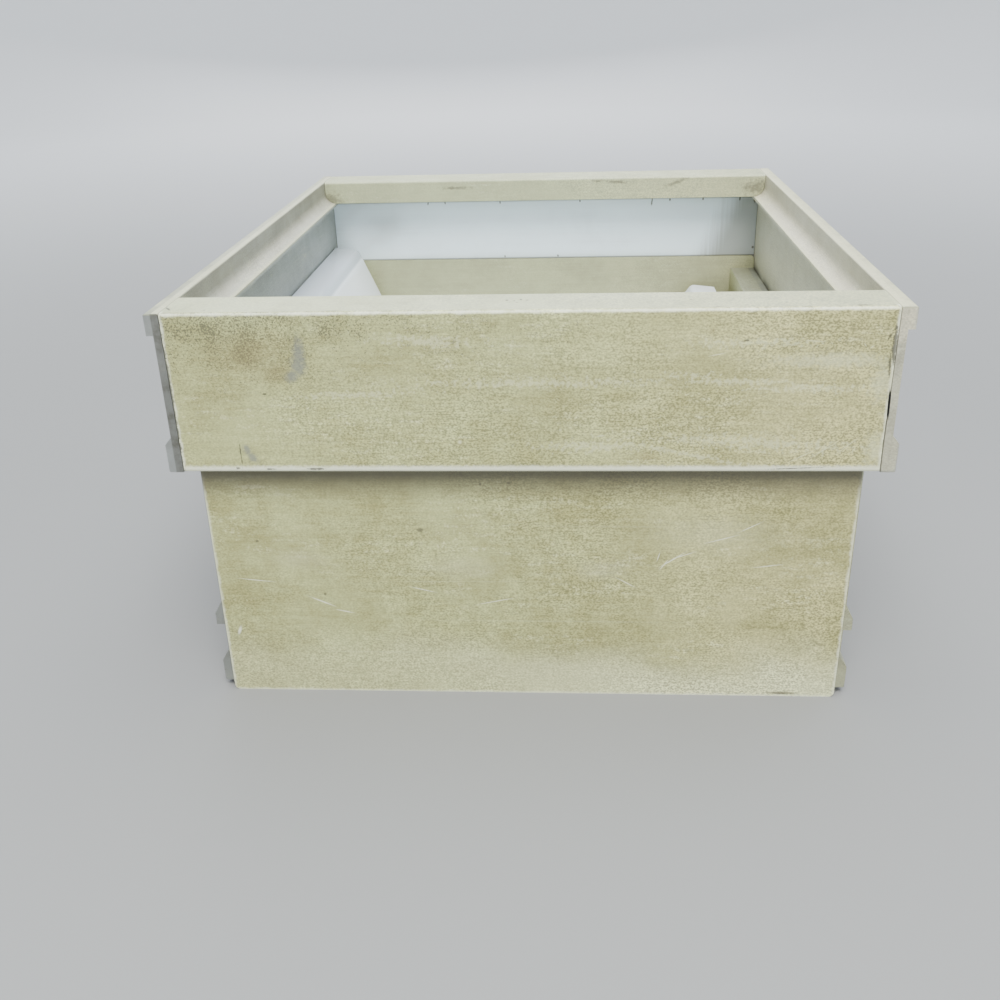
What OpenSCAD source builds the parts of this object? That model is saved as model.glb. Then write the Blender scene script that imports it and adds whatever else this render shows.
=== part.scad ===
// Open two-tier organizer box of extruded aluminium with a loose folded tray.
// Units are millimetres. The front faces -Y, Z is up and the table is Z = 0.

/* [Upper frame] */

// Clear width between the two rails
frame_w = 200; // [170:1:240]
// Depth of the frame, front face to back face
frame_d = 237; // [205:1:290]
// Height of the frame
frame_h = 47.5; // [40:0.5:60]
// Thickness of the rail walls
rail_t = 2.2; // [1.6:0.1:3]
// How far the outer lips stand off the rail wall
lip_out = 2; // [1.2:0.1:3.5]
// Height of the upper outer lip
top_lip_h = 6.2; // [5.8:0.1:9]
// Height of the flat face of the lower outer lip
low_lip_h = 8.6; // [5:0.1:12]
// Height of the slope above the lower outer lip
low_lip_slope = 2.3; // [1:0.1:4]
// Drop from the rim to the inner edge of the coved ledge
ledge_drop = 9.5; // [8:0.1:13]
// Width of the coved ledge
ledge_w = 4.6; // [3:0.1:6]
// Thickness of the ledge at its inner edge
ledge_t = 1.2; // [0.8:0.1:2]
// Radius of the rails' corners
rail_r = 0.5; // [0.3:0.05:0.8]

/* [Upper plates] */

// Thickness of the upper front and back plates
plate_t = 3; // [2:0.1:4]
// Depth of the bar folded in along the top of each plate
bar_d = 18; // [16:0.5:24]
// Height of the bar's inner lip
bar_h = 9.5; // [8:0.1:13]
// Thickness of the bar's top and lip
bar_t = 2.2; // [1.6:0.1:2.6]
// Gap at each end between a plate and the rail
seam = 0.2; // [0.1:0.05:0.4]
// Radius of the upper plates' outer edges
plate_edge_r = 1; // [0.6:0.1:1.5]
// Wall round the screw port
port_wall = 1.1; // [0.8:0.1:1.3]
// How far the screw port runs into the plate beside it
port_bite = 0.4; // [0.2:0.1:0.8]

/* [Lower box] */

// Height of the lower front and back plates
box_h = 87.2; // [75:0.2:110]
// How far the lower plates reach up behind the upper plates
lap = 8.2; // [7:0.1:12]
// Thickness of the lower front and back plates
box_plate_t = 2; // [1.5:0.1:3]
// Space between a rail and the side wall inside it
side_gap = 3; // [2.4:0.1:5]
// How far a lower plate's end stays inside the side wall's outer face
plate_inset = 0.9; // [0.5:0.1:1.5]
// Radius of the lower plates' corners
plate_r = 1.6; // [0.8:0.1:3]
// Thickness of the side walls
side_t = 2; // [1.5:0.1:3]
// Height of the side walls' lower edge above the table
side_z = 2.2; // [2:0.1:3]
// Drop from the top of the lower plates to the top of the sides
side_drop = 5.5; // [4:0.1:6.5]
// Radius of the side walls' corners
side_r = 0.5; // [0.3:0.05:0.8]
// How far the outer ribs stand off the side wall
rib_out = 2.6; // [1.6:0.1:4]
// Height of the flat face of the lower rib
low_rib_h = 7.8; // [5:0.1:10]
// Height of the slope above the lower rib
low_rib_slope = 3.8; // [2:0.1:5]
// Height of the upper rib's underside above the side's lower edge
high_rib_z = 21.3; // [19:0.1:26]
// Height of the flat face of the upper rib
high_rib_h = 4; // [3:0.1:6]
// Height of the slope above the upper rib
high_rib_slope = 4.7; // [2:0.1:6]
// Width of the hollow beam along the top of each side
beam_w = 8.1; // [7:0.1:11]
// Height of the hollow beam
beam_h = 14; // [10:0.1:18]
// Wall thickness of the hollow beam
beam_t = 1.6; // [1.2:0.1:2]
// Gap between the beam's outer shoulder and the rail that it fits inside
shoulder_gap = 0.2; // [0.1:0.05:0.4]

/* [Floor] */

// Thickness of the floor sheet
floor_t = 1.5; // [1:0.1:2.5]
// Width of the flange that carries the floor sheet
flange_w = 8; // [7:0.1:12]
// Thickness of the flange that carries the floor sheet
flange_t = 2; // [1.5:0.1:3]
// Gap around the floor sheet
floor_gap = 0.3; // [0.1:0.1:0.8]

/* [Corner angles] */

// Leg width of the corner angles
angle_leg = 12; // [10:0.5:18]
// Thickness of the corner angles
angle_t = 2; // [1.5:0.1:3]
// Gap between the top of a corner angle and the beam above it
angle_drop = 8; // [4:0.5:14]
// Height of a corner angle's foot above the floor sheet
angle_lift = 4; // [1:0.1:6]

/* [Fasteners] */

// Shank radius of the rail screws
screw_r = 1.5; // [1.2:0.05:1.6]
// Length of the rail screws
screw_l = 12; // [9:0.5:16]
// Head radius of the rail screws
screw_head_r = 2.7; // [2.4:0.05:2.8]
// Shank radius of the rivets
rivet_r = 1.6; // [1.2:0.05:2]
// Head radius of the rivets
rivet_head_r = 2.9; // [2.4:0.05:3.2]
// Height of the domed rivet heads
rivet_head_h = 0.9; // [0.6:0.05:1.2]
// Clearance round a shank in its hole
hole_gap = 0.1; // [0.05:0.05:0.2]
// How far the screw heads sit under the face of the lip
head_sink = 0.1; // [0.05:0.05:0.2]
// Corner radius of the screws' hex sockets
socket_r = 1.05; // [0.8:0.05:1.2]
// Depth of the hex sockets
socket_depth = 1.1; // [0.6:0.1:1.4]
// Height of the closed tail of a rivet
tail_h = 1.4; // [1:0.1:2]
// How far the closed tail spreads past the shank
tail_out = 0.6; // [0.3:0.1:0.9]
// Space between a side rivet's head and the rib under it
rivet_gap = 1; // [0.5:0.1:2]
// Space between a side rivet's head and the top of the corner angle
rivet_edge = 3; // [1:0.1:5]
// Distance from the lower plates to the end rivets of the floor
floor_rivet_end = 32; // [20:1:60]

/* [Tray] */

// Sheet thickness of the tray
tray_t = 2.4; // [1.6:0.1:3]
// How far the tray's height stays under the depth from the beams to the floor
tray_low = 2; // [1.5:0.1:8]
// Length of the tray from end to end
tray_l = 150; // [110:1:151]
// Width of the flat part of each tray flange
tray_flange = 9.2; // [7:0.1:10]
// How much of each flange lies on a beam when the tray sits level
tray_bearing = 2; // [1.2:0.1:2.4]
// Lean of the tray's sides from upright, in degrees
tray_lean = 30; // [28:0.5:33]
// Inner radius of the tray's folds
tray_bend = 0.5; // [0.3:0.1:2]
// How much lower the right flange stands than the left one
tray_drop = 21; // [16:0.5:21.5]
// Space between the back end of the tray and the lower back plate
tray_back = 4; // [2:0.5:10]
// Clearance between the tray and what it leans on
tray_gap = 0.3; // [0.25:0.05:0.5]

/* [Hidden] */

$fn = 48;

half_w = frame_w / 2;
half_d = frame_d / 2;
frame_z = box_h - lap;
rim_z = frame_z + frame_h;
rail_x = half_w + rail_t;
lip_x = rail_x + lip_out;
ledge_z = rim_z - ledge_drop;
plate_w = frame_w - 2 * seam;

// A screw port runs the length of each bar, in the corner under its top.
port_r = screw_r + port_wall;
port_z = rim_z - top_lip_h / 2;
port_y = plate_t + port_r - port_bite;

side_x = half_w - side_gap;
side_top = box_h - side_drop;
box_w = 2 * (side_x - plate_inset);
box_face = half_d - plate_t;
box_back = box_face - box_plate_t;
beam_x = side_x - beam_w;
shoulder_x = half_w - shoulder_gap;
shoulder_z = frame_z + shoulder_gap;
wall_in = side_x - side_t;
floor_z = side_z + flange_t;
floor_top = floor_z + floor_t;
angle_z = floor_top + angle_lift;
angle_top = side_top - beam_h - angle_drop;
angle_h = angle_top - angle_z;
rivet_low = side_z + high_rib_z + high_rib_h + high_rib_slope + rivet_head_r + rivet_gap;
rivet_high = angle_top - rivet_head_r - rivet_edge;
rivet_y = box_back - angle_t - (angle_leg - angle_t) / 2;
floor_rivet_x = wall_in - flange_w / 2;
floor_rivet_y = [floor_rivet_end - box_back, 0, box_back - floor_rivet_end];

// How far a cut runs past the face that it opens, and how far a head stands off its seat.
cut = 1;
seat = hole_gap / 2;

// The tray's own outline, with its width along u and its height along w.
tray_half = beam_x + tray_bearing;
tray_h = side_top - floor_top - tray_low;
tray_tilt = asin(tray_drop / (2 * tray_half));
bend_u = tray_half - tray_flange;
out_bend = tray_bend + tray_t;
foot_u = bend_u - tray_bend * cos(tray_lean)
    - (tray_h - out_bend + tray_bend * sin(tray_lean)) * tan(tray_lean);
tray_z = floor_top + tray_gap + foot_u * sin(tray_tilt);
// The tray's lower right edge stands on the floor. On the left it leans on the first thing it meets:
// its flange on the rail, or its side on the beam.
rail_lean_x = tray_half * cos(tray_tilt) - (tray_h - tray_t) * sin(tray_tilt) + tray_gap - half_w;
left_lean = tray_lean - tray_tilt;
left_z = tray_z + foot_u * sin(tray_tilt);
left_x = -beam_x + (tray_gap + (side_top - left_z) * sin(left_lean)) / cos(left_lean);
beam_lean_x = left_x + foot_u * cos(tray_tilt);
tray_x = max(rail_lean_x, beam_lean_x);
tray_y = box_back - tray_back - tray_l / 2;

function arc(cx, cy, r, a, b, n = 6) =
    [for (i = [0:n]) [cx + r * cos(a + (b - a) * i / n), cy + r * sin(a + (b - a) * i / n)]];

// Carries an outline drawn in X and Z along the depth of the box.
module along_y(l) {
    rotate([90, 0, 0])
        linear_extrude(height = l, center = true)
            children();
}

// Carries an outline drawn in Y and Z across the width of the box.
module along_x(l) {
    rotate([90, 0, 90])
        linear_extrude(height = l, center = true)
            children();
}

module box2(x0, y0, x1, y1) {
    translate([x0, y0])
        square([x1 - x0, y1 - y0]);
}

// Rail wall with a square lip at the rim and a sloped lip at the foot.
module rail_outline() {
    polygon(concat(
        [[half_w, frame_z]],
        arc(lip_x - rail_r, frame_z + rail_r, rail_r, -90, 0, 4),
        [[lip_x, frame_z + low_lip_h],
         [rail_x, frame_z + low_lip_h + low_lip_slope],
         [rail_x, rim_z - top_lip_h],
         [lip_x, rim_z - top_lip_h]],
        arc(lip_x - rail_r, rim_z - rail_r, rail_r, 0, 90, 4),
        arc(half_w + rail_r, rim_z - rail_r, rail_r, 90, 180, 4)));
}

// Ledge inside the rail, hollowed to a cove on its upper side.
module ledge_outline() {
    difference() {
        box2(half_w - ledge_w, ledge_z - ledge_t, half_w + rail_t / 2, ledge_z + ledge_w);
        translate([half_w - ledge_w, ledge_z + ledge_w])
            circle(r = ledge_w);
    }
}

// A rail with its ledge cut back for the plates and its lip drilled for the screws.
module rail() {
    difference() {
        union() {
            along_y(frame_d)
                rail_outline();
            along_y(frame_d - 2 * plate_t - 2 * seam)
                ledge_outline();
        }
        for (s = [-1, 1])
            translate([half_w, s * (half_d - port_y), port_z])
                screw_hole();
    }
}

// Clearance hole with a seat for a countersunk head.
module screw_hole() {
    rotate([0, 90, 0]) {
        translate([0, 0, -cut])
            cylinder(r = screw_r + hole_gap, h = rail_t + lip_out + 2 * cut);
        translate([0, 0, lip_x - half_w - (screw_head_r - screw_r) - hole_gap])
            cylinder(r1 = screw_r + hole_gap, r2 = screw_head_r + 2 * hole_gap,
                h = screw_head_r - screw_r + hole_gap);
    }
}

module screw() {
    difference() {
        rotate([0, 90, 0])
            rotate_extrude()
                polygon([[0, -screw_l], [screw_r / 2, -screw_l], [screw_r, -screw_l + screw_r],
                         [screw_r, screw_r - screw_head_r - head_sink],
                         [screw_head_r, -head_sink], [0, -head_sink]]);
        translate([-head_sink - socket_depth, 0, 0])
            rotate([0, 90, 0])
                cylinder(r = socket_r, h = socket_depth + cut, $fn = 6);
    }
}

// What is cut from each lower corner of a bar's lip, so that it sits in the rail's cove.
module lip_corner() {
    difference() {
        box2(half_w - ledge_w - seam, rim_z - bar_h - cut, half_w, ledge_z + ledge_w);
        translate([half_w - ledge_w, ledge_z + ledge_w])
            circle(r = ledge_w - seam);
    }
}

// Face plate with a bar along its top: a flat, a turned-down lip and a screw port.
// The lip's lower corners are rounded to the coves, and the rails' ledges run through under the bar.
module upper_plate() {
    difference() {
        along_x(plate_w)
            difference() {
                union() {
                    polygon(concat(
                        [[plate_t, frame_z], [plate_t, rim_z - bar_t],
                         [bar_d - bar_t, rim_z - bar_t], [bar_d - bar_t, rim_z - bar_h],
                         [bar_d, rim_z - bar_h]],
                        arc(bar_d - plate_edge_r, rim_z - plate_edge_r, plate_edge_r, 0, 90, 5),
                        arc(plate_edge_r, rim_z - plate_edge_r, plate_edge_r, 90, 180, 5),
                        arc(plate_edge_r, frame_z + plate_edge_r, plate_edge_r, 180, 270, 5)));
                    intersection() {
                        box2(0, rim_z - bar_h, bar_d, rim_z - bar_t / 2);
                        translate([port_y, port_z])
                            circle(r = port_r);
                    }
                }
                translate([port_y, port_z])
                    circle(r = screw_r + hole_gap);
            }
        for (s = [0, 1])
            mirror([s, 0, 0])
                translate([0, bar_d, 0])
                    along_y(2 * bar_t + 2 * cut)
                        lip_corner();
    }
}

// Side wall with two sloped outer ribs, a flange for the floor and a beam on top.
// The beam's shoulder reaches out to the rail, above the rail's lower edge.
module side_outline() {
    rib_x = side_x + rib_out;
    high_z = side_z + high_rib_z;
    polygon(concat(
        [[wall_in - flange_w, side_z]],
        arc(rib_x - side_r, side_z + side_r, side_r, -90, 0, 4),
        [[rib_x, side_z + low_rib_h],
         [side_x, side_z + low_rib_h + low_rib_slope],
         [side_x, high_z],
         [rib_x, high_z],
         [rib_x, high_z + high_rib_h],
         [side_x, high_z + high_rib_h + high_rib_slope],
         [side_x, shoulder_z],
         [shoulder_x, shoulder_z]],
        arc(shoulder_x - side_r, side_top - side_r, side_r, 0, 90, 4),
        arc(beam_x + side_r, side_top - side_r, side_r, 90, 180, 4),
        [[beam_x, side_top - beam_h],
         [wall_in, side_top - beam_h],
         [wall_in, floor_z],
         [wall_in - flange_w, floor_z]]));
}

module side() {
    difference() {
        along_y(2 * box_back)
            difference() {
                side_outline();
                box2(beam_x + beam_t, side_top - beam_h + beam_t, wall_in, side_top - beam_t);
            }
        for (s = [-1, 1])
            for (z = [rivet_low, rivet_high])
                translate([wall_in - cut, s * rivet_y, z])
                    rotate([0, 90, 0])
                        cylinder(r = rivet_r + hole_gap, h = side_t + 2 * cut);
        for (y = floor_rivet_y)
            translate([floor_rivet_x, y, side_z - cut])
                cylinder(r = rivet_r + hole_gap, h = flange_t + 2 * cut);
    }
}

// Flat sheet with rounded corners, its outer face towards -Y.
// Inside the frame it widens to fill the space between the rails.
module lower_plate() {
    w = box_w / 2 - plate_r;
    ear = plate_w / 2 - plate_r;
    translate([0, box_plate_t / 2 - box_face, 0])
        along_y(box_plate_t)
            polygon(concat(
                arc(w, plate_r, plate_r, -90, 0, 5),
                [[box_w / 2, shoulder_z], [plate_w / 2, shoulder_z]],
                arc(ear, box_h - plate_r, plate_r, 0, 90, 5),
                arc(-ear, box_h - plate_r, plate_r, 90, 180, 5),
                [[-plate_w / 2, shoulder_z], [-box_w / 2, shoulder_z]],
                arc(-w, plate_r, plate_r, 180, 270, 5)));
}

// Angle in the front right corner, drilled through the leg on the side wall.
module corner_angle() {
    difference() {
        translate([0, 0, angle_z])
            linear_extrude(height = angle_h)
                polygon([[wall_in, -box_back], [wall_in, -box_back + angle_leg],
                         [wall_in - angle_t, -box_back + angle_leg],
                         [wall_in - angle_t, -box_back + angle_t],
                         [wall_in - angle_leg, -box_back + angle_t],
                         [wall_in - angle_leg, -box_back]]);
        for (z = [rivet_low, rivet_high])
            translate([wall_in - angle_t - cut, -rivet_y, z])
                rotate([0, 90, 0])
                    cylinder(r = rivet_r + hole_gap, h = angle_t + 2 * cut);
    }
}

// Blind rivet along +Z: the head sits on Z = 0 and the tail closes under a grip.
module rivet(grip) {
    rotate_extrude()
        polygon(concat(
            [[0, -grip - tail_h], [rivet_r + tail_out / 2, -grip - tail_h],
             [rivet_r + tail_out, -grip - seat], [rivet_r, -grip - seat],
             [rivet_r, seat], [rivet_head_r, seat]],
            [for (a = [15:15:75]) [rivet_head_r * cos(a), seat + rivet_head_h * sin(a)]],
            [[0, seat + rivet_head_h]]));
}

// Open-ended folded trough with a flange along each top edge.
module tray_outline() {
    a = 180 - tray_lean;
    // Points of the right half, from the lower face up to the flange and back inside.
    outer = concat(
        [[foot_u, 0]],
        arc(bend_u, tray_h - out_bend, tray_bend, a, 90, 4),
        [[tray_half, tray_h - tray_t], [tray_half, tray_h]]);
    inner = arc(bend_u, tray_h - out_bend, out_bend, 90, a, 8);
    slope_u = bend_u + out_bend * cos(a);
    slope_w = tray_h - out_bend + out_bend * sin(a);
    floor_u = slope_u - (slope_w - tray_t) * tan(tray_lean);
    right = concat(outer, inner, [[floor_u, tray_t]]);
    n = len(right);
    polygon(concat(right, [for (i = [n - 1:-1:0]) [-right[i][0], right[i][1]]]));
}

module upper_front_plate() {
    color([0.72, 0.69, 0.57])
        translate([0, -half_d, 0])
            upper_plate();
}

module upper_back_plate() {
    color([0.72, 0.69, 0.57])
        mirror([0, 1, 0])
            translate([0, -half_d, 0])
                upper_plate();
}

module upper_right_rail() {
    color([0.74, 0.72, 0.62])
        rail();
}

module upper_left_rail() {
    color([0.74, 0.72, 0.62])
        mirror([1, 0, 0])
            rail();
}

module rail_screws() {
    color([0.6, 0.6, 0.6])
        for (m = [0, 1])
            mirror([m, 0, 0])
                for (s = [-1, 1])
                    translate([lip_x, s * (half_d - port_y), port_z])
                        screw();
}

module lower_front_plate() {
    color([0.7, 0.67, 0.55])
        lower_plate();
}

module lower_back_plate() {
    color([0.7, 0.67, 0.55])
        mirror([0, 1, 0])
            lower_plate();
}

module lower_right_side() {
    color([0.73, 0.71, 0.61])
        side();
}

module lower_left_side() {
    color([0.73, 0.71, 0.61])
        mirror([1, 0, 0])
            side();
}

module floor_plate() {
    w = 2 * (wall_in - floor_gap);
    d = 2 * (box_back - floor_gap);
    color([0.66, 0.66, 0.65])
        difference() {
            translate([-w / 2, -d / 2, floor_z])
                cube([w, d, floor_t]);
            for (s = [-1, 1])
                for (y = floor_rivet_y)
                    translate([s * floor_rivet_x, y, floor_z - cut])
                        cylinder(r = rivet_r + hole_gap, h = floor_t + 2 * cut);
        }
}

module corner_angle_front_right() {
    color([0.64, 0.64, 0.63])
        corner_angle();
}

module corner_angle_front_left() {
    color([0.64, 0.64, 0.63])
        mirror([1, 0, 0])
            corner_angle();
}

module corner_angle_back_right() {
    color([0.64, 0.64, 0.63])
        mirror([0, 1, 0])
            corner_angle();
}

module corner_angle_back_left() {
    color([0.64, 0.64, 0.63])
        mirror([1, 0, 0])
            mirror([0, 1, 0])
                corner_angle();
}

module side_rivets() {
    color([0.68, 0.68, 0.67])
        for (m = [0, 1])
            mirror([m, 0, 0])
                for (s = [-1, 1])
                    for (z = [rivet_low, rivet_high])
                        translate([side_x, s * rivet_y, z])
                            rotate([0, 90, 0])
                                rivet(side_t + angle_t);
}

module floor_rivets() {
    color([0.68, 0.68, 0.67])
        for (s = [-1, 1])
            for (y = floor_rivet_y)
                translate([s * floor_rivet_x, y, floor_top])
                    rivet(floor_t + flange_t);
}

module insert_tray() {
    color([0.9, 0.91, 0.93])
        translate([tray_x, tray_y, tray_z])
            rotate([0, tray_tilt, 0])
                along_y(tray_l)
                    tray_outline();
}

upper_front_plate();
upper_back_plate();
upper_left_rail();
upper_right_rail();
rail_screws();
lower_front_plate();
lower_back_plate();
lower_left_side();
lower_right_side();
floor_plate();
corner_angle_front_left();
corner_angle_front_right();
corner_angle_back_left();
corner_angle_back_right();
side_rivets();
floor_rivets();
insert_tray();
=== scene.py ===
"""Looks of an open two-tier organizer box: aged cream lacquer over extruded aluminium, with a loose white tray."""

import math

import bpy
from mathutils import Matrix, Vector

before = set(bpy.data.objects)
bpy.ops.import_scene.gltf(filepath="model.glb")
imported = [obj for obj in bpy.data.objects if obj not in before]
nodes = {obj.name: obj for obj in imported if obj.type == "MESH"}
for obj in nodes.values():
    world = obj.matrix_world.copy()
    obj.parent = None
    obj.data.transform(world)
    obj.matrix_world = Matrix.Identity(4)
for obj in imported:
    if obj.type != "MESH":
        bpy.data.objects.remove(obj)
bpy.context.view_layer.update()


# Side walls of the lower box: two aluminium extrusions with outer ribs and a hollow top beam.
# Both were lacquered cream; the left one has lost most of it on the outside, where it slides in its cabinet.

mm = 0.001


def paint(red, green, blue):
    """A colour as the eye reads it on a screen, 0 to 255, as the light values that a shader takes."""
    shares = [part / 255 for part in (red, green, blue)]
    return tuple(s / 12.92 if s <= 0.04045 else ((s + 0.055) / 1.055) ** 2.4 for s in shares) + (1.0,)


def box_of(name):
    """Lowest and highest corner of one piece."""
    spots = [nodes[name].matrix_world @ vertex.co for vertex in nodes[name].data.vertices]
    return (Vector([min(spot[axis] for spot in spots) for axis in range(3)]),
            Vector([max(spot[axis] for spot in spots) for axis in range(3)]))


def add(tree, kind, inputs=None, **properties):
    """One shader node, with its properties set and each input linked to a socket or given a value."""
    made = tree.nodes.new(kind)
    for name, value in properties.items():
        setattr(made, name, value)
    for name, value in (inputs or {}).items():
        if isinstance(value, bpy.types.NodeSocket):
            tree.links.new(value, made.inputs[name])
        else:
            made.inputs[name].default_value = value
    return made


def calc(tree, operation, *terms):
    """The result of one Math node on sockets or numbers."""
    return add(tree, "ShaderNodeMath", dict(enumerate(terms)), operation=operation).outputs[0]


def total(tree, *terms):
    """The sum of several sockets or numbers."""
    result = terms[0]
    for term in terms[1:]:
        result = calc(tree, "ADD", result, term)
    return result


def product(tree, *terms):
    """The product of several sockets or numbers."""
    result = terms[0]
    for term in terms[1:]:
        result = calc(tree, "MULTIPLY", result, term)
    return result


def swing(tree, value, reach):
    """A noise from 0 to 1 turned into a swing of a given reach about nought."""
    return calc(tree, "MULTIPLY", calc(tree, "SUBTRACT", value, 0.5), reach)


def vector_calc(tree, operation, *terms):
    """The result of one Vector Math node on sockets or vectors."""
    return add(tree, "ShaderNodeVectorMath", dict(enumerate(terms)), operation=operation).outputs["Vector"]


def parts_of(tree, vector):
    """The X, Y and Z of a vector."""
    return add(tree, "ShaderNodeSeparateXYZ", {0: vector}).outputs


def between(tree, value, low, high, to_low=0.0, to_high=1.0):
    """A smooth step of a value from low to high."""
    return add(tree, "ShaderNodeMapRange", {"Value": value, "From Min": low, "From Max": high,
                                            "To Min": to_low, "To Max": to_high},
               interpolation_type="SMOOTHSTEP").outputs["Result"]


def blend(tree, share, under, over, way="MIX"):
    """One colour laid over another by a share from 0 to 1."""
    made = add(tree, "ShaderNodeMix", {0: share}, data_type="RGBA", blend_type=way)
    for socket, value in ((made.inputs[6], under), (made.inputs[7], over)):
        if isinstance(value, bpy.types.NodeSocket):
            tree.links.new(value, socket)
        else:
            socket.default_value = value
    return made.outputs[2]


def noise(tree, place, scale, detail=3.0, roughness=0.55, stretch=None, shift=None):
    """Cloudy noise from 0 to 1; stretch shrinks or widens it along X, Y and Z."""
    if shift is not None:
        place = vector_calc(tree, "ADD", place, shift)
    if stretch is not None:
        place = vector_calc(tree, "MULTIPLY", place, stretch)
    return add(tree, "ShaderNodeTexNoise", {"Vector": place, "Scale": scale, "Detail": detail,
                                            "Roughness": roughness}).outputs["Fac"]


def new_group(name, inputs, outputs):
    """An empty shader node group with named sockets; inputs holds (name, kind, start value)."""
    tree = bpy.data.node_groups.new(name, "ShaderNodeTree")
    for label, kind, start in inputs:
        socket = tree.interface.new_socket(label, in_out="INPUT", socket_type="NodeSocket" + kind)
        if start is not None:
            socket.default_value = start
    for label, kind in outputs:
        tree.interface.new_socket(label, in_out="OUTPUT", socket_type="NodeSocket" + kind)
    return tree, tree.nodes.new("NodeGroupInput").outputs, tree.nodes.new("NodeGroupOutput").inputs


def use(tree, group, **inputs):
    """The outputs of one use of a node group."""
    return add(tree, "ShaderNodeGroup", inputs, node_tree=group).outputs


def new_material(name):
    """A fresh material with its tree, its surface shader and the place on the object in metres."""
    material = bpy.data.materials.new(name)
    material.use_nodes = True
    tree = material.node_tree
    surface = next(n for n in tree.nodes if n.type == "BSDF_PRINCIPLED")
    place = tree.nodes.new("ShaderNodeTexCoord").outputs["Object"]
    return material, tree, surface, place


def dress(name, material, surface, tree, colour, roughness, height, depth, metallic=None):
    """Links the finished layers to a material's surface shader and puts it on a piece."""
    tree.links.new(colour, surface.inputs["Base Color"])
    tree.links.new(roughness, surface.inputs["Roughness"])
    if metallic is not None:
        tree.links.new(metallic, surface.inputs["Metallic"])
    bump = add(tree, "ShaderNodeBump", {"Strength": 1.0, "Distance": depth, "Height": height})
    tree.links.new(bump.outputs["Normal"], surface.inputs["Normal"])
    nodes[name].data.materials[0] = material


# Aged lacquer: soft stains, drawing lines along the extrusion, a fine mottle and small pits.
aged, given, gives = new_group("aged_lacquer", (
    ("Place", "Vector", None), ("Shift", "Vector", (0, 0, 0)), ("Cream", "Color", None), ("Stain", "Color", None),
    ("Pale", "Color", None), ("Stained", "Float", 0.5), ("Mottled", "Float", 1.0), ("Pitted", "Float", 0.3),
    ("Rubbed", "Float", 0.0), ("Along", "Vector", (40, 40, 900)), ("Scuffed", "Vector", (110, 110, 650))),
    (("Color", "Color"), ("Roughness", "Float"), ("Height", "Float"), ("Grain", "Float")))
at = vector_calc(aged, "ADD", given["Place"], given["Shift"])
broad = noise(aged, at, 26, 5, 0.6, stretch=(1, 1, 1.6))
small = noise(aged, at, 130, 5, 0.65, shift=(0.3, 0.1, 0.7))
lines = noise(aged, vector_calc(aged, "MULTIPLY", at, given["Along"]), 1.0, 5, 0.7)
mottle = noise(aged, at, 700, 3, 0.7)
grit = noise(aged, at, 1900, 2, 0.6)
dots = noise(aged, at, 2100, 1, 0.5, stretch=(0.7, 0.7, 1.0), shift=(0.5, 0.2, 0.4))
threads = noise(aged, vector_calc(aged, "MULTIPLY", at, given["Along"]), 2.6, 2, 0.6)
patches = between(aged, noise(aged, at, 34, 3, 0.6, shift=(0.2, 0.8, 0.6)), 0.3, 0.7, 0.35, 1.2)
clouds = total(aged, between(aged, broad, 0.3, 0.7), swing(aged, small, 2.4), swing(aged, lines, 1.5))
stain = calc(aged, "MULTIPLY_ADD", clouds, given["Stained"], 0.2)
streaks = noise(aged, vector_calc(aged, "MULTIPLY", at, given["Scuffed"]), 1.0, 4, 0.65)
rub_places = noise(aged, at, 26, 3, 0.6, stretch=(1, 1, 2.5), shift=(0.9, 0.4, 0.2))
rub_lines = total(aged, streaks, swing(aged, mottle, 0.5), swing(aged, grit, 0.6))
scuff = product(aged, between(aged, rub_places, 0.44, 0.66), between(aged, rub_lines, 0.54, 0.72), 0.5)
scuff = calc(aged, "MAXIMUM", scuff, given["Rubbed"])
colour = blend(aged, between(aged, stain, -0.15, 1.15), given["Cream"], given["Stain"])
colour = blend(aged, scuff, colour, given["Pale"])
grain = product(aged, total(aged, swing(aged, mottle, 0.55), swing(aged, grit, 0.8), swing(aged, dots, 2.0),
                            swing(aged, threads, 0.8)), patches, given["Mottled"])
grain = between(aged, grain, -0.75, 0.75, -0.42, 0.42)
colour = vector_calc(aged, "MULTIPLY", colour, calc(aged, "ADD", grain, 1.0))
pit_edge = calc(aged, "SUBTRACT", 0.82, calc(aged, "MULTIPLY", given["Pitted"], 0.26))
pits = between(aged, calc(aged, "ADD", grit, swing(aged, small, 0.35)), pit_edge, calc(aged, "ADD", pit_edge, 0.05))
colour = blend(aged, calc(aged, "MULTIPLY", pits, 0.75), colour, paint(72, 70, 56))
aged.links.new(colour, gives["Color"])
aged.links.new(between(aged, stain, 0.0, 1.0, 0.4, 0.58), gives["Roughness"])
aged.links.new(total(aged, swing(aged, lines, 0.3), swing(aged, small, 0.3), swing(aged, mottle, 0.3),
                     calc(aged, "MULTIPLY", pits, -0.6)), gives["Height"])
aged.links.new(mottle, gives["Grain"])

# Worn edges: how far the lacquer is rubbed through along the edges of a plain box-shaped piece.
worn, given, gives = new_group("worn_edges", (
    ("Place", "Vector", None), ("Low", "Vector", None), ("High", "Vector", None), ("Width", "Float", 0.001),
    ("Ragged", "Float", 0.001)), (("Wear", "Float"),))
off_low = vector_calc(worn, "ABSOLUTE", vector_calc(worn, "SUBTRACT", given["Place"], given["Low"]))
off_high = vector_calc(worn, "ABSOLUTE", vector_calc(worn, "SUBTRACT", given["High"], given["Place"]))
off = parts_of(worn, vector_calc(worn, "MINIMUM", off_low, off_high))
middle = calc(worn, "MAXIMUM", calc(worn, "MINIMUM", off[0], off[1]),
              calc(worn, "MINIMUM", calc(worn, "MAXIMUM", off[0], off[1]), off[2]))
uneven = calc(worn, "MULTIPLY", swing(worn, noise(worn, given["Place"], 260, 4, 0.65), 2.0), given["Ragged"])
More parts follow.
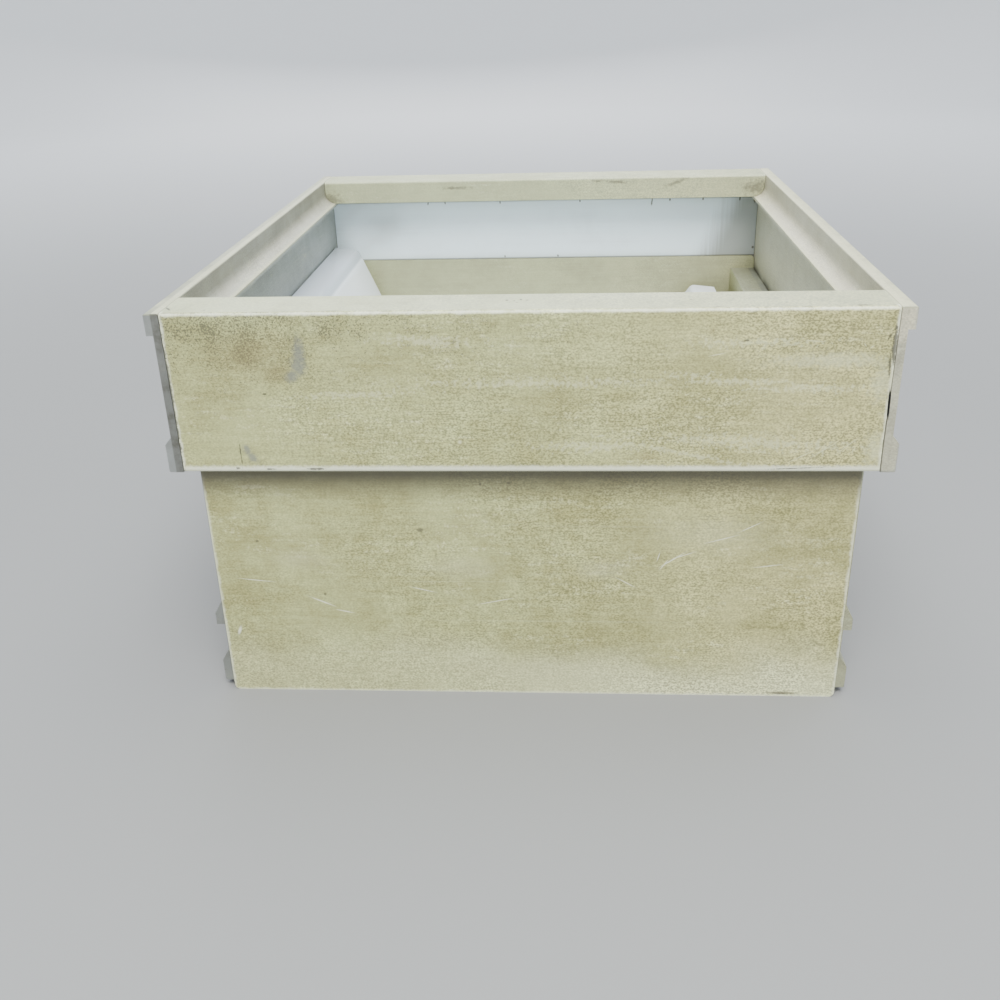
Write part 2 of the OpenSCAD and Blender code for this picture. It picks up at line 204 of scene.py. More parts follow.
worn.links.new(between(worn, calc(worn, "ADD", middle, uneven), given["Width"], 0.0), gives["Wear"])

cream = paint(178, 181, 126)
stained = paint(144, 141, 90)
pale_cream = paint(204, 205, 162)
# A dark grime colour, used for real dirt marks and also for painted shade and painted shadow lines.
grime_and_shade = paint(78, 73, 58)
# An old dirt colour, used for real dirt and also for painted shade in the rails' corners.
dirt_and_corner_shade = paint(84, 81, 70)
bare_metal = paint(150, 153, 150)
grey_dust = paint(106, 108, 112)
beam_top = 81.7 * mm
side_wall = 97 * mm

for name, shift, cover, bare_outside in (("lower_left_side", (0.2, 0.0, 0.5), paint(176, 180, 164), 0.9),
                                         ("lower_right_side", (0.7, 0.3, 0.1), paint(180, 180, 138), 0.35)):
    low, high = box_of(name)
    material, tree, surface, place = new_material(name + "_lacquer")
    layer = use(tree, aged, Place=place, Shift=shift, Cream=cover, Stain=stained, Pale=pale_cream,
                Stained=0.3, Mottled=0.6, Pitted=0.3, Along=(900, 30, 900))
    spot = parts_of(tree, place)
    outside = between(tree, calc(tree, "ABSOLUTE", spot["X"]), side_wall - 0.2 * mm, side_wall)
    end = between(tree, calc(tree, "ABSOLUTE", spot["Y"]), high.y - 0.6 * mm, high.y - 0.2 * mm)
    edge = use(tree, worn, Place=place, Low=low, High=high, Width=0.8 * mm, Ragged=0.8 * mm)["Wear"]
    rubbed = product(tree, calc(tree, "MAXIMUM", outside, end), bare_outside,
                     between(tree, noise(tree, place, 70, 4, 0.6, shift=shift), 0.25, 0.5))
    rubbed = calc(tree, "MAXIMUM", rubbed, calc(tree, "MULTIPLY", edge, 0.7))
    colour = blend(tree, rubbed, layer["Color"], bare_metal)
    drawn_dirt = between(tree, noise(tree, place, 48, 5, 0.7, stretch=(1, 0.4, 1)), 0.4, 0.8)
    dirt_specks = between(tree, noise(tree, place, 600, 3, 0.7), 0.58, 0.75, 0.0, 0.5)
    dirt = product(tree, total(tree, drawn_dirt, dirt_specks, bare_outside * 0.35),
                   calc(tree, "MAXIMUM", outside, end), 0.55)
    dust = product(tree, between(tree, spot["Z"], beam_top - 0.5 * mm, beam_top - 0.1 * mm),
                   between(tree, noise(tree, place, 90, 4, 0.6), 0.2, 0.8, 0.42, 0.54))
    colour = blend(tree, dust, blend(tree, dirt, colour, dirt_and_corner_shade), grey_dust)
    dress(name, material, surface, tree, colour, layer["Roughness"], layer["Height"], 0.06 * mm,
          calc(tree, "MULTIPLY", rubbed, 0.7))


# Floor sheet, corner angles and rivets: mill-finish aluminium, left bare inside the box.
# The sheet was cut from coil, the angles from drawn bar, and both are held by blind rivets.
for name in nodes:
    is_rivet = name in ("side_rivets", "floor_rivets")
    if not (is_rivet or name.startswith("corner_angle") or name == "floor_plate"):
        continue
    material, tree, surface, place = new_material(name + "_aluminium")
    along = (900, 900, 10) if name.startswith("corner_angle") else (10, 900, 900)
    drawn = noise(tree, place, 1.0, 4, 0.65, stretch=along)
    cloud = noise(tree, place, 45, 4, 0.6)
    colour = blend(tree, cloud, paint(170, 172, 172), paint(208, 210, 211))
    colour = blend(tree, calc(tree, "MULTIPLY", between(tree, cloud, 0.55, 0.75), 0.5), colour, paint(150, 146, 130))
    shade = 0.5 if is_rivet else 0.3
    dress(name, material, surface, tree, colour, between(tree, drawn, 0.25, 0.75, shade, shade + 0.2),
          total(tree, swing(tree, drawn, 0.6), swing(tree, cloud, 0.4)), 0.03 * mm)
    surface.inputs["Metallic"].default_value = 0.9


# Lower front and back plates: flat lacquered sheet with rounded corners, spot-welded behind the frame.
# Handling has rubbed their edges pale, and the front one carries scratches and small stains.

# One mark on a face that looks along Y: an ellipse with a ragged, soft rim.
mark, given, gives = new_group("mark", (
    ("Place", "Vector", None), ("Grain", "Float", 0.5), ("Spot", "Vector", (0, 0, 0)), ("Half", "Vector", (1, 1, 1)),
    ("Turn", "Float", 0.0), ("Ragged", "Float", 0.5), ("Soft", "Float", 0.5)), (("Mask", "Float"),))
turned = add(mark, "ShaderNodeVectorRotate", {"Vector": vector_calc(mark, "SUBTRACT", given["Place"], given["Spot"]),
                                              "Angle": given["Turn"]}, rotation_type="Y_AXIS").outputs[0]
shares = parts_of(mark, vector_calc(mark, "DIVIDE", turned, given["Half"]))
reach = calc(mark, "SQRT", total(mark, calc(mark, "MULTIPLY", shares[0], shares[0]),
                                 calc(mark, "MULTIPLY", shares[2], shares[2])))
reach = calc(mark, "ADD", reach, calc(mark, "MULTIPLY", swing(mark, given["Grain"], 2.0), given["Ragged"]))
on_face = calc(mark, "LESS_THAN", calc(mark, "ABSOLUTE", shares[1]), 1.0)
mark.links.new(product(mark, between(mark, reach, 1.0, calc(mark, "SUBTRACT", 1.0, given["Soft"])), on_face),
               gives["Mask"])


def marks(tree, place, grain, face, places, ragged=0.5, soft=0.6):
    """A mask of marks on the face at Y = face; each is X, Z, half length and half width in mm, turn in degrees."""
    mask = 0.0
    for x, z, half_long, half_wide, turn in places:
        one = use(tree, mark, Place=place, Grain=grain, Spot=(x * mm, face, z * mm),
                  Half=(half_long * mm, 0.9 * mm, half_wide * mm), Turn=math.radians(turn),
                  Ragged=ragged, Soft=soft)["Mask"]
        mask = calc(tree, "MAXIMUM", mask, one)
    return mask


def rougher(tree, sideways, inward=0.0):
    """How strong the grain is: more towards the right end of a plate, little on its inner face."""
    return product(tree, between(tree, sideways, -70 * mm, 70 * mm, 1.1, 2.0),
                   calc(tree, "MULTIPLY_ADD", inward, -0.7, 1.0))


def warm_cream(tree, sideways):
    """The cream, a little warmer towards the right end of a plate."""
    return blend(tree, between(tree, sideways, -10 * mm, 90 * mm), cream, paint(183, 178, 124))


sheet_half = 96.1 * mm
frame_low = box_of("upper_front_plate")[0].z
edge_white = paint(228, 230, 205)
for name, shift in (("lower_front_plate", (0.0, 0.0, 0.0)), ("lower_back_plate", (0.4, 0.2, 0.9))):
    low, high = box_of(name)
    low.x, high.x = -sheet_half, sheet_half
    material, tree, surface, place = new_material(name + "_lacquer")
    spot = parts_of(tree, place)
    is_front = name == "lower_front_plate"
    inward = 0.0 if is_front else between(tree, spot["Y"], high.y - 0.3 * mm, high.y - 0.6 * mm)
    clouds = noise(tree, place, 22, 3, 0.55, shift=shift)
    foot = product(tree, between(tree, total(tree, spot["Z"], swing(tree, clouds, 40 * mm)), 26 * mm, 6 * mm),
                   between(tree, spot["X"], -60 * mm, 70 * mm, 0.35, 0.95))
    layer = use(tree, aged, Place=place, Shift=shift, Cream=warm_cream(tree, spot["X"]), Stain=stained,
                Pale=pale_cream, Stained=0.62, Pitted=0.2,
                Mottled=calc(tree, "MULTIPLY", rougher(tree, spot["X"], inward), 0.88),
                Rubbed=calc(tree, "MAXIMUM", foot, calc(tree, "MULTIPLY", inward, 0.1)), Along=(40, 40, 900))
    colour, height = layer["Color"], layer["Height"]
    edge = use(tree, worn, Place=place, Low=low, High=high, Width=1.0 * mm, Ragged=1.1 * mm)["Wear"]
    below_frame = calc(tree, "LESS_THAN", spot["Z"], frame_low)
    colour = blend(tree, product(tree, edge, below_frame, 0.6), colour, edge_white)
    # Painted shade: the lower plates darken towards the frame's bottom edge, where the frame overhangs them.
    painted_shade_under_frame = product(tree, between(tree, spot["Z"], frame_low - 13 * mm, frame_low - 1.5 * mm, 0.0, 0.92),
                     calc(tree, "SUBTRACT", 1.0, inward))
    colour = blend(tree, painted_shade_under_frame, colour, grime_and_shade)
    # Painted shade: the inner face of the lower back plate is painted greyer and darker, as the inside of the box gets
    # less light.
    colour = blend(tree, calc(tree, "MULTIPLY", inward, 0.4), colour, paint(148, 152, 138))
    if is_front:
        face = low.y
        cloudy = marks(tree, place, layer["Grain"], face, (
            (-69.5, 48.2, 13, 5, 0), (22.1, 45.3, 13, 5, 5), (55, 58, 26, 9, 0), (-20, 46, 16, 6, 0)), 0.6, 1.0)
        drawn = marks(tree, place, layer["Grain"], face, (
            (10, 27, 70, 0.3, 0), (-20, 41, 50, 0.3, 0.3), (30, 60, 45, 0.3, -0.3), (-45, 15, 40, 0.4, 0)), 1.0, 1.0)
        colour = blend(tree, calc(tree, "MULTIPLY", calc(tree, "MAXIMUM", cloudy, drawn), 0.28), colour, pale_cream)
        scratches = marks(tree, place, layer["Grain"], face, (
            (43.6, 48.9, 6.2, 0.3, 34.5), (41.2, 47.2, 3.0, 0.25, 55), (-91.7, 22.6, 2.4, 0.7, 70),
            (-64, 33.5, 6, 0.35, -24), (-57, 30, 4, 0.3, -12), (47, 50.5, 5, 0.2, 20), (39.5, 50, 2.2, 0.2, 75),
            (58, 56, 7, 0.2, 16), (66, 60, 5, 0.2, 28), (72, 47, 6, 0.2, 8), (30, 41, 5, 0.2, -30),
            (-10, 34, 8, 0.2, 12), (-32, 38, 6, 0.2, -14), (-84, 41, 8, 0.2, -6)), 0.25, 0.8)
        colour = blend(tree, calc(tree, "MULTIPLY", scratches, 0.8), colour, edge_white)
        spots = marks(tree, place, layer["Grain"], face, (
            (-62.9, 36.2, 0.6, 0.6, 0), (-82.1, 54.7, 0.6, 0.6, 0), (-13.2, 73.9, 0.6, 0.6, 0),
            (-5.0, 74.2, 0.6, 0.5, 0), (79.4, 1.2, 6, 0.7, 0), (-31.8, 58.7, 1.6, 0.8, 0)))
        colour = blend(tree, calc(tree, "MULTIPLY", spots, 0.75), colour, grime_and_shade)
        height = calc(tree, "SUBTRACT", height, calc(tree, "MULTIPLY", scratches, 0.5))
    dress(name, material, surface, tree, colour, layer["Roughness"], height, 0.06 * mm)


# Rails of the frame: extrusions with outer lips and a coved ledge inside, lacquered cream.
# The left one is worn to grey metal at its ends and lips; they carry painted shade high in the cove, and dirt with
# painted shade where they meet the side beams.
ledge_low = 115.8 * mm
rail_wall = 100 * mm
crack_black = paint(22, 20, 18)
for name, shift, cover, dark_cover, cove_cover, cove_dark, bare_outside in (
        ("upper_left_rail", (0.3, 0.1, 0.6), paint(158, 163, 160), paint(130, 133, 126),
         paint(172, 171, 154), paint(142, 139, 119), 0.95),
        ("upper_right_rail", (0.8, 0.2, 0.4), paint(186, 184, 160), paint(162, 158, 132),
         paint(204, 199, 173), paint(180, 173, 144), 0.1)):
    low, high = box_of(name)
    material, tree, surface, place = new_material(name + "_lacquer")
    spot = parts_of(tree, place)
    above_ledge = between(tree, spot["Z"], ledge_low + 0.4 * mm, ledge_low + 1.0 * mm)
    layer = use(tree, aged, Place=place, Shift=shift, Cream=blend(tree, above_ledge, cover, cove_cover),
                Stain=blend(tree, above_ledge, dark_cover, cove_dark), Pale=pale_cream,
                Stained=0.3, Mottled=0.6, Pitted=0.35, Along=(900, 30, 900))
    sideways = calc(tree, "ABSOLUTE", spot["X"])
    outside = between(tree, sideways, rail_wall + 2.0 * mm, rail_wall + 2.2 * mm)
    end = between(tree, calc(tree, "ABSOLUTE", spot["Y"]), high.y - 0.6 * mm, high.y - 0.2 * mm)
    edge = use(tree, worn, Place=place, Low=low, High=high, Width=0.8 * mm, Ragged=0.8 * mm)["Wear"]
    rubbed = product(tree, calc(tree, "MAXIMUM", outside, end), bare_outside,
                     between(tree, noise(tree, place, 70, 4, 0.6, shift=shift), 0.2, 0.45))
    rubbed = calc(tree, "MAXIMUM", rubbed, calc(tree, "MULTIPLY", edge, 0.6))
    colour = blend(tree, rubbed, layer["Color"], bare_metal)
    # Darker where the rail wall meets the side beam: partly dirt, partly painted contact shadow.
    corner_dirt_and_shade = product(tree, between(tree, spot["Z"], beam_top + 4 * mm, beam_top),
                      between(tree, sideways, rail_wall + 0.3 * mm, rail_wall + 0.1 * mm),
                      between(tree, noise(tree, place, 60, 4, 0.6), 0.25, 0.6), 0.8)
    # Painted shade: the rail's inner wall is darkened high in the cove, as that steep face gets less light.
    painted_cove_shade = product(tree, between(tree, spot["Z"], ledge_low + 2.4 * mm, ledge_low + 6 * mm),
                      between(tree, sideways, rail_wall + 0.3 * mm, rail_wall + 0.1 * mm),
                      between(tree, noise(tree, place, 50, 4, 0.6), 0.2, 0.7, 0.2, 0.5), 0.5 + 0.5 * bare_outside)
    corner_dirt_and_shade = calc(tree, "MAXIMUM", corner_dirt_and_shade, painted_cove_shade)
    on_wall = between(tree, sideways, rail_wall + 2.4 * mm, rail_wall + 2.0 * mm)
    dirt = product(tree, total(tree, between(tree, noise(tree, place, 190, 4, 0.65), 0.4, 0.7, 0.0, 0.5),
                               calc(tree, "MULTIPLY", on_wall, bare_outside * 0.75)),
                   calc(tree, "MAXIMUM", outside, end), calc(tree, "MULTIPLY_ADD", on_wall, 0.3, 0.4))
    rim = between(tree, spot["Z"], high.z - 0.6 * mm, high.z - 0.1 * mm, 0.0, 0.45)
    # Painted highlight: a pale band along the ledge's rounded inner edge.
    painted_ledge_highlight = product(tree, between(tree, sideways, rail_wall - 2.6 * mm, rail_wall - 4.2 * mm), above_ledge, 0.35)
    colour = blend(tree, calc(tree, "MAXIMUM", rim, painted_ledge_highlight), colour, pale_cream)
    colour = blend(tree, calc(tree, "MAXIMUM", corner_dirt_and_shade, dirt), colour, dirt_and_corner_shade)
    if name == "upper_right_rail":
        crack = marks(tree, place, layer["Grain"], low.y, ((100.0, 99.4, 5.2, 0.25, 92),), 0.2, 0.3)
        colour = blend(tree, crack, colour, crack_black)
    dress(name, material, surface, tree, colour, layer["Roughness"], layer["Height"], 0.06 * mm,
          calc(tree, "MULTIPLY", rubbed, 0.7))


# Upper front and back plates: extrusions with a bar along the top, lacquered outside and left bare inside.
# The front one is pitted near its top, stained, scratched, and chipped at its right end.
# The bare inner faces are painted a bluish near-white with no metal shine: a painted reflection of the light from
# above.
strip_sheen_white = paint(234, 249, 255)
# A grey used for the metal's clouds and for painted shade on the strip.
strip_grey_and_shade = paint(150, 154, 149)
chip_dark = paint(58, 54, 44)
plate_thick = 3 * mm
bar_low = box_of("upper_front_plate")[1].z - 9.5 * mm
bar_deep = 18 * mm
for name, shift in (("upper_front_plate", (0.1, 0.0, 0.3)), ("upper_back_plate", (0.6, 0.5, 0.2))):
    low, high = box_of(name)
    is_front = name == "upper_front_plate"
    outer_face = low.y if is_front else high.y
    material, tree, surface, place = new_material(name + "_lacquer")
    spot = parts_of(tree, place)
    depth = calc(tree, "ABSOLUTE", spot["Y"])
    on_front = between(tree, depth, abs(outer_face) - 1.6 * mm, abs(outer_face) - 1.2 * mm)
    off_front = calc(tree, "SUBTRACT", 1.0, on_front)
    upward_pits = product(tree, between(tree, spot["Z"], 88 * mm, 123 * mm, 0.3, 1.0),
                          between(tree, spot["X"], -75 * mm, 20 * mm, 1.15, 0.5))
    pitted = total(tree, upward_pits, swing(tree, noise(tree, place, 20, 2, 0.5, shift=shift), 1.0))
    pitted = calc(tree, "MULTIPLY", pitted, on_front)
    rim = between(tree, spot["Z"], high.z - 1.0 * mm, high.z - 0.3 * mm, 0.0, 0.3)
    layer = use(tree, aged, Place=place, Shift=shift, Cream=warm_cream(tree, spot["X"]), Stain=stained,
                Pale=pale_cream, Stained=0.5, Mottled=rougher(tree, spot["X"], calc(tree, "MULTIPLY", off_front, 0.6)),
                Pitted=pitted, Rubbed=rim,
                Along=(40, 40, 900))
    colour, height = layer["Color"], layer["Height"]
    colour = blend(tree, calc(tree, "MULTIPLY", off_front, 0.35), colour, paint(174, 183, 168))
    edge = use(tree, worn, Place=place, Low=low, High=high, Width=1.1 * mm, Ragged=0.9 * mm)["Wear"]
    # The pale top edge is partly wear and partly a painted highlight on the rounded edge, strongest on the front
    # plate.
    rim_share = 0.8 if is_front else 0.3
    rim_wear_and_highlight = between(tree, depth, abs(outer_face) - 3.0 * mm, abs(outer_face) - 2.0 * mm, 0.12, rim_share)
    low_edge = between(tree, total(tree, spot["Z"], swing(tree, layer["Grain"], 1.8 * mm)),
                       low.z + 2.6 * mm, low.z + 1.2 * mm, 0.0, 0.85)
    colour = blend(tree, calc(tree, "MAXIMUM", calc(tree, "MULTIPLY", edge, rim_wear_and_highlight), low_edge), colour, edge_white)
    if is_front:
        # Tan stains; the small mark at X 51 mm, Z 120.4 mm is the painted shade of a small dent.
        tan = marks(tree, place, layer["Grain"], outer_face, (
            (-76, 115, 20, 10, 8), (-68.6, 110, 9, 5, 20), (34.2, 83.7, 6, 2.2, 0), (-18.2, 88.4, 1.7, 1.7, 0),
            (51, 120.4, 2.2, 1.2, 45)),
            0.4, 1.0)
        colour = blend(tree, calc(tree, "MULTIPLY", tan, 0.38), colour, paint(128, 116, 74))
        rubbed_grey = marks(tree, place, layer["Grain"], outer_face, (
            (-61.9, 114.5, 7.2, 2.5, 88), (-62.4, 111.4, 4.6, 3.3, 80), (-64.4, 108.4, 3.2, 2.4, 40),
            (-80.2, 86.2, 2.4, 1.6, 110), (-78.8, 83.6, 2.8, 1.8, 135)), 0.5, 0.8)
        colour = blend(tree, calc(tree, "MULTIPLY", rubbed_grey, 0.75), colour, paint(118, 122, 113))
        scratches = marks(tree, place, layer["Grain"], outer_face, (
            (52.6, 113.8, 3.5, 0.22, 11.6), (78.2, 117.4, 4, 0.22, -4), (93.4, 115.6, 0.9, 0.25, 40),
            (64, 106, 1.2, 0.2, 20), (70, 103, 1.0, 0.2, -30), (21.5, 90.2, 2.0, 0.3, 8), (-18.2, 88.4, 0.9, 0.9, 0),
            (78, 84, 6, 0.2, 28), (84, 86, 6.5, 0.2, 35), (90, 87, 5, 0.2, 40),
            (91.6, 116.2, 0.8, 0.2, -50)), 0.35, 0.8)
        faint = marks(tree, place, layer["Grain"], outer_face, (
            (44, 85, 20, 0.8, -11.5), (5, 106, 32, 1.4, 0), (80, 104, 16, 1.2, 0), (-26, 118.2, 14, 1.6, -3),
            (45, 107.8, 9, 1.0, -2), (60, 106, 14, 1.0, 0), (-45, 103, 18, 1.0, 3), (62, 117, 16, 1.2, 0),
            (66, 88, 26, 2.0, -4), (20, 87, 16, 1.6, 0)), 4.0, 1.0)
        pale_end = marks(tree, place, layer["Grain"], outer_face, (
            (97.5, 106, 5, 9, 0), (98, 86, 5, 8, 0), (84, 112, 26, 3, 0)), 1.2, 1.0)
        pale = calc(tree, "MAXIMUM", calc(tree, "MULTIPLY", scratches, 0.9),
                    calc(tree, "MULTIPLY", calc(tree, "MAXIMUM", faint, pale_end), 0.6))
        colour = blend(tree, pale, colour, pale_cream)
        dark = marks(tree, place, layer["Grain"], outer_face, (
            (-82.2, 84.8, 4.4, 0.22, 90), (99.3, 116.2, 7.5, 0.8, 92), (98.7, 110.5, 4.5, 0.5, 94),
            (97.9, 118.6, 2.0, 0.5, 60), (-99.7, 103, 26, 0.35, 90),
            (99.8, 90, 14, 0.2, 90), (-60.5, 80.1, 3.5, 0.45, 0), (-74, 80.0, 2, 0.35, 0), (-83.5, 80.3, 0.8, 0.4, 0),
            (76, 80.2, 9, 0.2, 2), (-73, 103.2, 0.7, 0.5, 0), (60, 117.6, 1.2, 0.4, 10)), 1.3, 0.6)
        crack = marks(tree, place, layer["Grain"], outer_face, ((99.75, 99.4, 5.2, 0.3, 92),), 0.2, 0.3)
        colour = blend(tree, calc(tree, "MULTIPLY", dark, 0.8), colour, chip_dark)
        colour = blend(tree, crack, colour, crack_black)
        from_above = add(tree, "ShaderNodeCombineXYZ", {0: spot["X"], 1: spot["Z"], 2: spot["Y"]}).outputs[0]
        specks = marks(tree, from_above, layer["Grain"], high.z, (
            (-4.5, -107.8, 0.5, 0.7, 0), (-2.4, -108.4, 0.4, 0.5, 0), (-0.6, -107.2, 0.4, 0.9, 0),
            (1.1, -107.9, 0.5, 0.5, 0),
            (-1.6, -110.4, 0.5, 0.3, 0), (24, -112, 0.4, 0.3, 0), (46, -109, 0.5, 0.3, 0), (71, -113, 0.6, 0.3, 20),
            (52, -116.6, 2.4, 0.3, 0), (-52, -116.9, 3, 0.3, 0), (90, -116.4, 3, 0.5, 0), (-88, -115, 0.5, 0.4, 0),
            (-98.8, -113.2, 2.6, 0.6, -55)), 0.8, 0.6)
        colour = blend(tree, calc(tree, "MULTIPLY", specks, 0.85), colour, chip_dark)
        height = calc(tree, "SUBTRACT", height, calc(tree, "MULTIPLY", calc(tree, "MAXIMUM", scratches, dark), 0.5))
    else:
        lip_face = outer_face - bar_deep
        # Dark smudges on the back bar's lip; the two large ones at its ends are partly dirt and partly painted shade
        # in the corners beside the ledges.
        smudges_and_corner_shade = marks(tree, place, layer["Grain"], lip_face, (
            (25.5, 125.0, 4, 1.0, 0), (34, 124.4, 7, 0.9, -4), (60, 123.6, 9, 1.2, 20), (96, 121, 9, 5, 0),
            (-97, 119, 8, 4, 0), (-40, 123, 10, 1.0, 0)), 0.8, 1.0)
        colour = blend(tree, calc(tree, "MULTIPLY", smudges_and_corner_shade, 0.75), colour, paint(92, 88, 70))
    inside = product(tree, between(tree, depth, abs(outer_face) - 1.4 * mm, abs(outer_face) - 1.8 * mm),
                     calc(tree, "LESS_THAN", spot["Z"], bar_low - 0.2 * mm))
    streaks = noise(tree, place, 1.0, 4, 0.65, stretch=(12, 12, 700), shift=shift)
    cloud = noise(tree, place, 28, 4, 0.6, shift=shift)
    greyed = between(tree, total(tree, swing(tree, streaks, 0.3), swing(tree, cloud, 0.9)), 0.0, 0.6, 0.05, 0.55)
    strip = blend(tree, greyed, strip_sheen_white, strip_grey_and_shade)
    if not is_front:
        inner_face = outer_face - plate_thick
        brushed = noise(tree, place, 1.0, 3, 0.6, stretch=(900, 900, 30))
        dull_cloud = marks(tree, place, cloud, inner_face, ((-76, 103, 20, 15, 0),), 0.8, 1.0)
        # A grey cloud at the strip's left end, and painted shade greying the strip towards its right end, beside the
        # right rail.
        cloud_and_right_shade = calc(tree, "MAXIMUM", product(tree, 0.45, dull_cloud),
                    between(tree, total(tree, spot["X"], swing(tree, brushed, 9 * mm),
                                        calc(tree, "MULTIPLY", spot["Z"], -0.5)), 24 * mm, 40 * mm))
        strip = blend(tree, calc(tree, "MULTIPLY", cloud_and_right_shade, 0.95), strip, strip_grey_and_shade)
        dirt_ticks_and_shadow_lines = marks(tree, place, layer["Grain"], inner_face, (
            (-54.5, 113.7, 1.3, 0.5, 80), (-46.4, 113.9, 1.0, 0.5, 90), (-20.3, 113.8, 1.1, 0.5, 95),
            (17.3, 113.9, 1.0, 0.5, 90), (50.9, 113.0, 2.4, 0.5, 84), (59.2, 113.8, 1.1, 0.5, 90),
            (74.5, 113.8, 1.0, 0.6, 90), (91.5, 113.6, 1.4, 0.6, 90), (98.4, 113.0, 2.0, 0.7, 90),
            (-18.6, 88.2, 0.8, 0.5, 90), (6.9, 88.2, 0.8, 0.5, 90), (99.0, 91.0, 0.9, 0.7, 90)))
        # Painted shadow: thin dark lines along the strip's top, under the bar's lip, and along its bottom, above the
        # lower back plate.
        strip_shadow_lines = calc(tree, "MAXIMUM", between(tree, spot["Z"], 113.7 * mm, 114.3 * mm, 0.0, 0.7),
                             between(tree, spot["Z"], 88.0 * mm, 87.3 * mm, 0.0, 0.8))
        dirt_ticks_and_shadow_lines = calc(tree, "MAXIMUM", dirt_ticks_and_shadow_lines, strip_shadow_lines)
        strip = blend(tree, calc(tree, "MULTIPLY", dirt_ticks_and_shadow_lines, 0.9), strip, grime_and_shade)
    colour = blend(tree, inside, colour, strip)
    dress(name, material, surface, tree, colour, layer["Roughness"], height, 0.06 * mm)


# Screws of the frame: countersunk, of zinc-plated steel dulled with age.
# They are driven through the rails' top lips into ports in the plates' bars.
material, tree, surface, place = new_material("screw_zinc")
cloud = noise(tree, place, 500, 4, 0.65)
colour = blend(tree, cloud, paint(150, 150, 146), paint(190, 190, 186))
colour = blend(tree, calc(tree, "MULTIPLY", between(tree, cloud, 0.55, 0.7), 0.6), colour, paint(110, 98, 78))
dress("rail_screws", material, surface, tree, colour, between(tree, cloud, 0.3, 0.7, 0.3, 0.5), cloud, 0.02 * mm)
surface.inputs["Metallic"].default_value = 1.0


# Loose tray: one sheet of glossy white plastic, folded into an open-ended trough with a flange on each side.
# It is fixed to nothing and leans in the box, with its left flange against the left rail.
material, tree, surface, place = new_material("tray_white_plastic")
cloud = noise(tree, place, 40, 3, 0.6)
hairline = noise(tree, place, 1.0, 3, 0.7, stretch=(400, 30, 400))
colour = blend(tree, cloud, paint(244, 250, 254), paint(248, 252, 255))
flange_high = box_of("insert_tray")[1].z
flange_low = flange_high - 4 * mm
# Painted shade: from 4 mm below the top of the flanges upward the white is greyed, so the flanges read darker than the
# lit slope.
colour = blend(tree, between(tree, parts_of(tree, place)["Z"], flange_low - 1.5 * mm, flange_low, 0.0, 0.8), colour,
               paint(172, 180, 187))
dress("insert_tray", material, surface, tree, colour,
      total(tree, between(tree, cloud, 0.3, 0.7, 0.06, 0.1), between(tree, hairline, 0.6, 0.8, 0.0, 0.08)),
      total(tree, swing(tree, cloud, 0.6), swing(tree, hairline, 0.1)), 0.03 * mm)


# Plain pale studio: a round floor that curves up into a low wall, soft light from above,
# weaker light from the front and the back, and the camera at the photograph's angle.
floor_radius, cove_radius, wall_top = 1.7, 0.8, 1.2
rounds, cove_steps = 96, 16
profile = [(floor_radius * 0.25, 0.0), (floor_radius, 0.0)]
for step in range(1, cove_steps + 1):
    lean = math.radians(90 * step / cove_steps)
    profile.append((floor_radius + cove_radius * math.sin(lean), cove_radius * (1 - math.cos(lean))))
profile.append((floor_radius + cove_radius, wall_top))
spots, faces = [(0, 0, 0)], []
for radius, level in profile:
    for turn in range(rounds):
        way = 2 * math.pi * turn / rounds
        spots.append((radius * math.cos(way), radius * math.sin(way), level))
for turn in range(rounds):
    following = (turn + 1) % rounds
    faces.append((0, 1 + turn, 1 + following))
    for ring in range(len(profile) - 1):
        start = 1 + ring * rounds
        faces.append((start + turn, start + rounds + turn, start + rounds + following, start + following))
mesh = bpy.data.meshes.new("studio_floor")
mesh.from_pydata(spots, [], faces)
mesh.shade_smooth()
studio_floor = bpy.data.objects.new("studio_floor", mesh)
bpy.context.scene.collection.objects.link(studio_floor)
material, tree, surface, place = new_material("studio_floor_paper")
cloud = noise(tree, place, 3, 2, 0.5)
far = add(tree, "ShaderNodeVectorMath", {0: place}, operation="LENGTH").outputs["Value"]
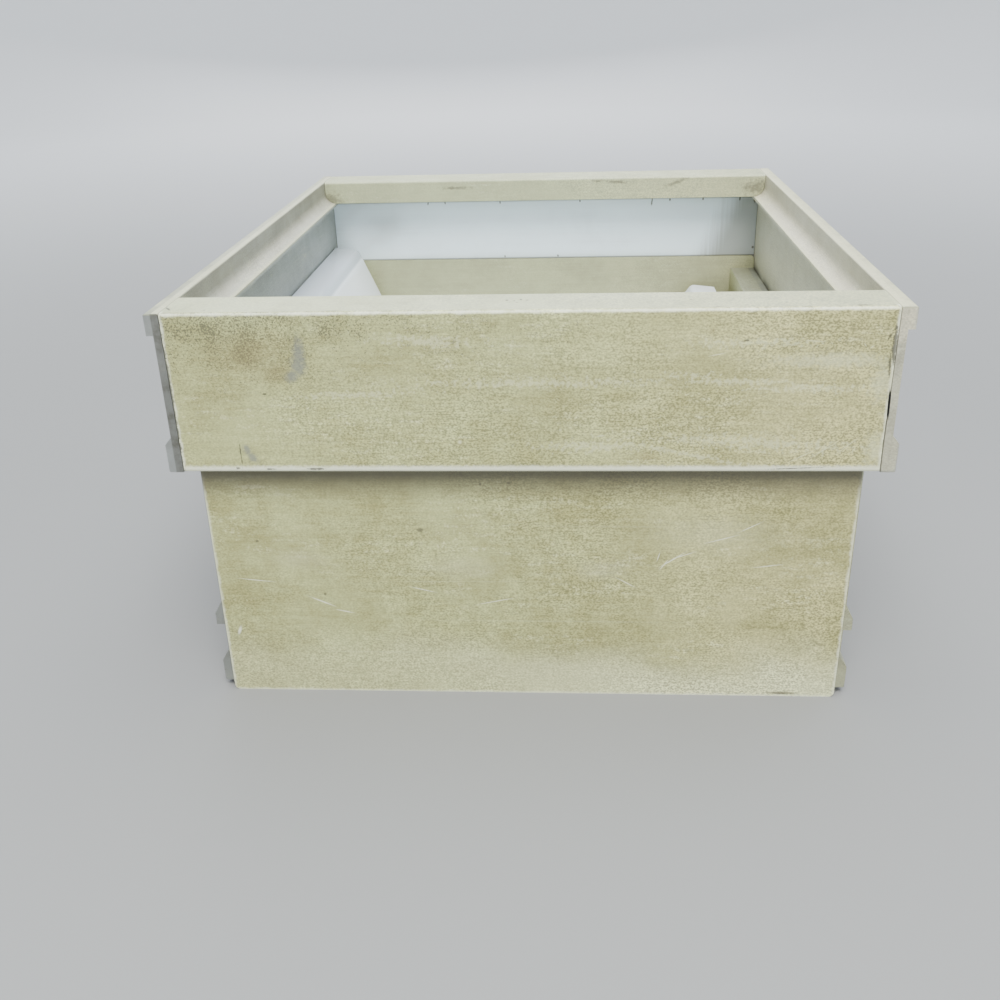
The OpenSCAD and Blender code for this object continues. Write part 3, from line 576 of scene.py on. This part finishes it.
# Painted shade: the floor is mid grey near the object and pales outward, which also cuts the light bounced up under
# it.
paper_painted_dark_near = blend(tree, cloud, paint(132, 132, 131), paint(137, 137, 136))
colour = blend(tree, between(tree, far, 0.2, 1.8), paper_painted_dark_near, paint(226, 227, 228))
tree.links.new(colour, surface.inputs["Base Color"])
surface.inputs["Roughness"].default_value = 0.8
studio_floor.data.materials.append(material)

world = bpy.data.worlds.new("studio_room")
world.use_nodes = True
world.node_tree.nodes["Background"].inputs["Color"].default_value = (0.93, 0.99, 1.04, 1.0)
world.node_tree.nodes["Background"].inputs["Strength"].default_value = 0.14
bpy.context.scene.world = world

target = Vector((0, 0, 0.07))
for name, spot, size, power, tint in (("key_light", (0.05, -0.80, 1.27), 0.75, 34, (1.0, 1.0, 0.96)),
                                      ("ceiling_light", (0.1, 0.3, 1.8), 2.0, 64, (0.92, 1.0, 1.1)),
                                      ("front_light", (0.1, -1.7, 0.75), 1.2, 11, (0.96, 1.0, 1.06)),
                                      ("back_light", (-0.2, 1.7, 0.8), 1.2, 9, (1.0, 1.0, 1.0))):
    lamp = bpy.data.lights.new(name, "AREA")
    lamp.size = size
    lamp.energy = power
    lamp.color = tint
    holder = bpy.data.objects.new(name, lamp)
    holder.location = spot
    holder.rotation_euler = (target - Vector(spot)).to_track_quat("-Z", "Y").to_euler()
    bpy.context.scene.collection.objects.link(holder)

camera_place = Vector((0.01338, -0.39786, 0.20425))
camera_yaw, camera_pitch, camera_roll = (math.radians(angle) for angle in (4.229, 25.581, -1.726))
right = Vector((math.cos(camera_yaw), math.sin(camera_yaw), 0))
ahead = Vector((-math.sin(camera_yaw) * math.cos(camera_pitch), math.cos(camera_yaw) * math.cos(camera_pitch),
                -math.sin(camera_pitch)))
upward = right.cross(ahead)
across = math.cos(camera_roll) * right + math.sin(camera_roll) * upward
upright = math.cos(camera_roll) * upward - math.sin(camera_roll) * right
lens = bpy.data.cameras.new("photo_camera")
lens.sensor_width = 36
lens.lens = 38.38
lens.clip_start = 0.01
camera = bpy.data.objects.new("photo_camera", lens)
camera.matrix_world = Matrix.Translation(camera_place) @ Matrix((across, upright, -ahead)).transposed().to_4x4()
bpy.context.scene.collection.objects.link(camera)
bpy.context.scene.camera = camera
